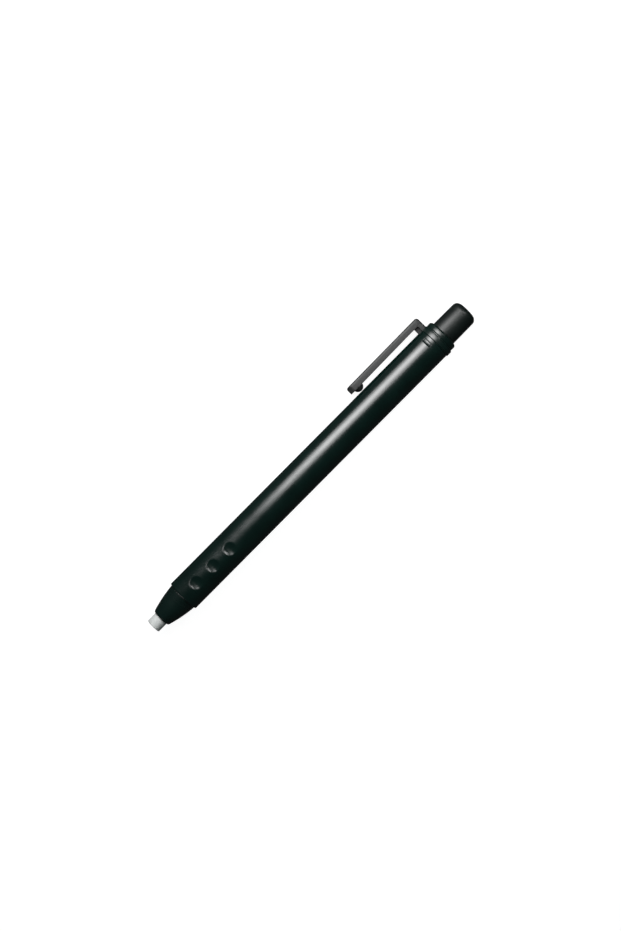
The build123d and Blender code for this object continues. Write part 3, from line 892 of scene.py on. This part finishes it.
class HOLDER_OT_clip(bpy.types.Operator):
    """Shapes the clip from a bar: its root, gusset, half-round tip and ball"""

    bl_idname = "holder.clip"
    bl_label = "Pocket clip"

    def execute(self, context):
        """Builds the clip, which bends at its root."""
        size = context.scene.holder_clip
        barrel_r = radius_of("barrel")
        foot_r = radius_of("clip_ring") - size.seat_depth * MM + SEAT_PLAY
        tip, root_rear = front_of("clip_arm"), rear_of("clip_root")
        root_front = root_rear - size.root_thickness * MM
        gusset_front = root_front - size.gusset * MM
        width, tip_flat = size.width * MM, 0.02 * MM
        inner_root, inner_tip = barrel_r + size.root_gap * MM, barrel_r + size.tip_gap * MM
        outer_root, outer_tip = inner_root + size.root_bar * MM, inner_tip + size.tip_bar * MM

        clip = block("pocket_clip", tip, root_rear, inner_root, outer_root, width)
        open_mesh(clip)
        pick("faces", lambda middle, normal: normal.x < -0.9)
        share = (outer_tip - inner_tip) / (outer_root - inner_root)
        bpy.ops.transform.resize(value=(1, share, 1), center_override=(tip, inner_root, 0))
        bpy.ops.transform.translate(value=(0, inner_tip - inner_root, 0))
        bpy.ops.mesh.select_all(action="SELECT")
        bpy.ops.mesh.bisect(plane_co=(root_front, 0, 0), plane_no=(1, 0, 0))
        pick("faces", lambda middle, normal: normal.y < -0.9 and middle.x > root_front)
        bpy.ops.mesh.extrude_region_move(TRANSFORM_OT_translate={"value": (0, foot_r - MM - inner_root, 0)})
        pick("edges", lambda middle, way: middle.x < tip + NEAR and abs(way.y) > 0.9)
        bpy.ops.mesh.bevel(offset=width / 2 - tip_flat, offset_type="OFFSET", segments=12, affect="EDGES")

        def on_corner(middle, way):
            return middle.x > root_rear - NEAR and middle.y > outer_root - NEAR and abs(way.z) > 0.9

        pick("edges", on_corner)
        bpy.ops.mesh.bevel(offset=size.root_corner * MM, offset_type="OFFSET", segments=8, affect="EDGES")
        slope = (inner_root + outer_root - inner_tip - outer_tip) / 2 / (root_rear - tip)

        def on_rim(middle, way):
            above = middle.y > (inner_tip + outer_tip) / 2 + slope * (middle.x - tip)
            return above or middle.x > root_rear - NEAR

        pick("sharp", on_rim)
        bpy.ops.mesh.bevel(offset=size.outer_edge * MM, offset_type="OFFSET", segments=5, affect="EDGES")
        tidy_mesh(clip)
        break_edges(clip, size.edge * MM, segments=3)
        cut_out(clip, rod("foot_rest", root_front - MM, root_rear + MM, foot_r))

        # The gusset reaches into the root and the bar, so that it is one solid with them
        gusset_rear, gusset_top = root_front + 0.4 * MM, inner_root + 0.9 * MM
        gusset = block("gusset", gusset_front, gusset_rear, barrel_r - MM, gusset_top, size.gusset_width * MM)
        break_edges(gusset, 0.12 * MM)
        rest_r = barrel_r + size.gusset_gap * MM
        cut_out(gusset, rod("gusset_rest", gusset_front - MM, root_front + MM, rest_r))
        deselect_all()
        bpy.ops.mesh.primitive_uv_sphere_add(
            segments=64, ring_count=32, radius=size.ball * MM,
            location=(tip + size.ball_from_tip * MM, barrel_r + (size.ball_gap + size.ball) * MM, 0),
        )
        ball = bpy.context.object
        settle(ball)
        for extra in (gusset, ball):
            tidy_mesh(extra)
            join_in(clip, extra)
        self.add_loops(clip, tip, root_front)
        roll(clip, CLIP_ANGLE)
        hand_over(clip, "clip satin", None, "clip_grey", "clip_root", "clip_arm")
        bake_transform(clip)
        return {"FINISHED"}

    def add_loops(self, clip, tip, root_front):
        """Cuts loops across the bar, closest at its root, where it bends."""
        bend_step = 0.35 * MM
        open_mesh(clip)
        places = [root_front - bend_step * count for count in range(1, 12)]
        places += [tip + (root_front - tip) * count / 10 for count in range(2, 9)]
        for x in places:
            bpy.ops.mesh.select_all(action="SELECT")
            bpy.ops.mesh.bisect(plane_co=(x, 0, 0), plane_no=(1, 0, 0))
        deselect_all()


class HOLDER_OT_spring(bpy.types.Operator):
    """Winds the return spring and grinds its ends flat"""

    bl_idname = "holder.spring"
    bl_label = "Return spring"

    def execute(self, context):
        """Builds the return spring, which shortens with the button."""
        size = context.scene.holder_fittings
        front, rear = front_of("return_spring"), rear_of("return_spring")
        wire = size.wire * MM
        coil_r = radius_of("return_spring") - wire
        spring = helix("spring_coil", 12, wire, coil_r, (rear - front) / size.coils, front, size.coils, 48)
        open_mesh(spring)
        for x, way in ((front, -1), (rear, 1)):
            bpy.ops.mesh.select_all(action="SELECT")
            bpy.ops.mesh.bisect(plane_co=(x, 0, 0), plane_no=(way, 0, 0), use_fill=True, clear_outer=True)
        hand_over(spring, "spring wire", "barrel", "spring_steel", "return_spring")
        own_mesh(spring)
        return {"FINISHED"}


class HOLDER_OT_works(bpy.types.Operator):
    """Gives the inner pieces their finishes"""

    bl_idname = "holder.works"
    bl_label = "Inner works"

    def execute(self, context):
        """Finishes the chuck, clutch, tube and retainer."""
        finishes = {
            "tip_retainer": "retainer rubber", "clutch_sleeve": "acetal", "clutch_ring": "turned brass",
            "chuck_jaw_1": "acetal", "chuck_jaw_2": "acetal", "chuck_jaw_3": "acetal",
            "chuck_root": "acetal", "tube_joint": "acetal", "magazine_tube": "tube plastic",
        }
        for node, finish in finishes.items():
            dress(frame["nodes"][node], finish)
        return {"FINISHED"}


class HOLDER_OT_stage(bpy.types.Operator):
    """Sets the table, the lamps and the camera"""

    bl_idname = "holder.stage"
    bl_label = "Stage"

    def execute(self, context):
        """Builds the stage."""
        stage = context.scene.holder_stage
        self.lay_table(stage)
        self.light_room(stage)
        self.place_lamps(stage)
        self.place_camera(stage)
        context.scene.view_settings.view_transform = "Standard"
        return {"FINISHED"}

    def lay_table(self, stage):
        """Lays the table top under the object.

        The camera sees it nearly white, with the object's faint shadow. To other rays it is nearly black,
        so that the plastic's rims stay dark against it.
        """
        deselect_all()
        bpy.ops.mesh.primitive_plane_add(size=8.0, location=(0, 0, CAD_BOX[0][2]))
        table = bpy.context.object
        table.name = "table_top"
        paint = bpy.data.materials.new("table paint")
        paint.use_nodes = True
        tree = paint.node_tree
        shader = tree.nodes["Principled BSDF"]
        shader.inputs["Roughness"].default_value = 0.9
        shader.inputs["Specular IOR Level"].default_value = 0.1
        shader.inputs["Emission Color"].default_value = (1, 1, 1, 1)
        rays = tree.nodes.new("ShaderNodeLightPath")

        def reckon(operation, first, second):
            """Works out one number from two sockets or numbers."""
            node = tree.nodes.new("ShaderNodeMath")
            node.operation = operation
            for count, value in enumerate((first, second)):
                if isinstance(value, bpy.types.NodeSocket):
                    tree.links.new(value, node.inputs[count])
                else:
                    node.inputs[count].default_value = value
            return node.outputs["Value"]

        in_gloss = reckon("MAXIMUM", rays.outputs["Is Glossy Ray"], rays.outputs["Is Transmission Ray"])
        glow = reckon(
            "MAXIMUM", reckon("MULTIPLY", rays.outputs["Is Camera Ray"], stage.table_glow),
            reckon("MULTIPLY", in_gloss, stage.table_in_gloss),
        )
        tree.links.new(glow, shader.inputs["Emission Strength"])
        seen = reckon("MULTIPLY", rays.outputs["Is Camera Ray"], stage.table_white)
        white = reckon("ADD", seen, stage.table_dark)
        tree.links.new(white, shader.inputs["Base Color"])
        table.data.materials.append(paint)

    def light_room(self, stage):
        """Fills the room with even, faint light, white where the camera sees it."""
        room = bpy.data.worlds.new("room")
        bpy.context.scene.world = room
        room.use_nodes = True
        tree = room.node_tree
        light = tree.nodes["Background"]
        light.inputs["Color"].default_value = (*stage.room_colour, 1)
        light.inputs["Strength"].default_value = stage.room_light
        white = tree.nodes.new("ShaderNodeBackground")
        white.inputs["Color"].default_value = (1, 1, 1, 1)
        either = tree.nodes.new("ShaderNodeMixShader")
        rays = tree.nodes.new("ShaderNodeLightPath")
        tree.links.new(rays.outputs["Is Camera Ray"], either.inputs[0])
        tree.links.new(light.outputs[0], either.inputs[1])
        tree.links.new(white.outputs[0], either.inputs[2])
        tree.links.new(either.outputs[0], tree.nodes["World Output"].inputs["Surface"])

    def place_lamps(self, stage):
        """Sets the key, front, rear and nose panels.

        The key is three nested panels beside the clip, which add up to one with soft edges. The front panel
        is faint, the rear one lights the collar and button, and the nose one the stick's end.
        """
        key_way, front_way, rear_way = towards(37.5), towards(7), towards(0.5)
        start, end = 0.5 * MM, 130 * MM
        heights = (80 * MM, 160 * MM, 280 * MM)
        for count, height in enumerate(heights):
            middle = AXIS_WAY * (start + end) / 2 + key_way * (250 + 6 * count) * MM
            area_lamp(f"key_panel_{count + 1}", middle, -key_way, AXIS_WAY, end - start, height,
                      stage.key_light / len(heights))
        middle = AXIS_WAY * 66 * MM + front_way * 500 * MM
        area_lamp("front_panel", middle, -front_way, AXIS_WAY, 150 * MM, 160 * MM, stage.front_light)
        middle, target = AXIS_WAY * 220 * MM + rear_way * 245 * MM, AXIS_WAY * -20 * MM
        area_lamp("rear_panel", middle, target - middle, AXIS_WAY, 115 * MM, 34 * MM, stage.rear_light)
        middle = AXIS_WAY * -400 * MM
        area_lamp("nose_panel", middle, AXIS_WAY, SIDE_WAY, 120 * MM, 120 * MM, stage.nose_light)

    def place_camera(self, stage):
        """Looks square at the side of the clip, with the axis leaning as in the picture."""
        lens = bpy.data.cameras.new("picture_camera")
        lens.lens = stage.focal
        lens.sensor_width = stage.sensor
        camera = bpy.data.objects.new("picture_camera", lens)
        bpy.context.scene.collection.objects.link(camera)
        bpy.context.scene.camera = camera
        distance = stage.frame_height * MM * stage.focal / stage.sensor
        aim = AXIS_WAY * stage.aim_x * MM + CLIP_WAY * stage.aim_r * MM
        right = AXIS_WAY * math.cos(stage.lean) - CLIP_WAY * math.sin(stage.lean)
        up = AXIS_WAY * math.sin(stage.lean) + CLIP_WAY * math.cos(stage.lean)
        turn = Matrix((right, up, SIDE_WAY)).transposed()
        camera.matrix_world = Matrix.Translation(aim + SIDE_WAY * distance) @ turn.to_4x4()
        lens.clip_start = 0.05
        lens.clip_end = 30


class HOLDER_PT_panel(bpy.types.Panel):
    """Lists the holder's pieces in the sidebar"""

    bl_label = "Eraser Holder"
    bl_idname = "HOLDER_PT_panel"
    bl_space_type = "VIEW_3D"
    bl_region_type = "UI"
    bl_category = "Eraser Holder"

    def draw(self, context):
        """Draws one button for each operator."""
        for name in STEPS:
            self.layout.operator(f"holder.{name}")


STEPS = ("barrel", "nose", "stick", "collar", "button", "ring", "clip", "spring", "works", "stage")
GROUPS = {
    "holder_finishes": HolderFinishes,
    "holder_barrel": HolderBarrel,
    "holder_fittings": HolderFittings,
    "holder_clip": HolderClip,
    "holder_stage": HolderStage,
}
CLASSES = (
    *GROUPS.values(), HOLDER_OT_barrel, HOLDER_OT_nose, HOLDER_OT_stick, HOLDER_OT_collar, HOLDER_OT_button,
    HOLDER_OT_ring, HOLDER_OT_clip, HOLDER_OT_spring, HOLDER_OT_works, HOLDER_OT_stage, HOLDER_PT_panel,
)


def register():
    """Registers the classes and the settings."""
    for made in CLASSES:
        bpy.utils.register_class(made)
    for name, group in GROUPS.items():
        setattr(bpy.types.Scene, name, bpy.props.PointerProperty(type=group))


def unregister():
    """Removes the settings and the classes."""
    for name in GROUPS:
        delattr(bpy.types.Scene, name)
    for made in reversed(CLASSES):
        bpy.utils.unregister_class(made)


def main():
    """Builds every piece and the stage."""
    register()
    for name in STEPS:
        getattr(bpy.ops.holder, name)()


if __name__ == "__main__":
    main()
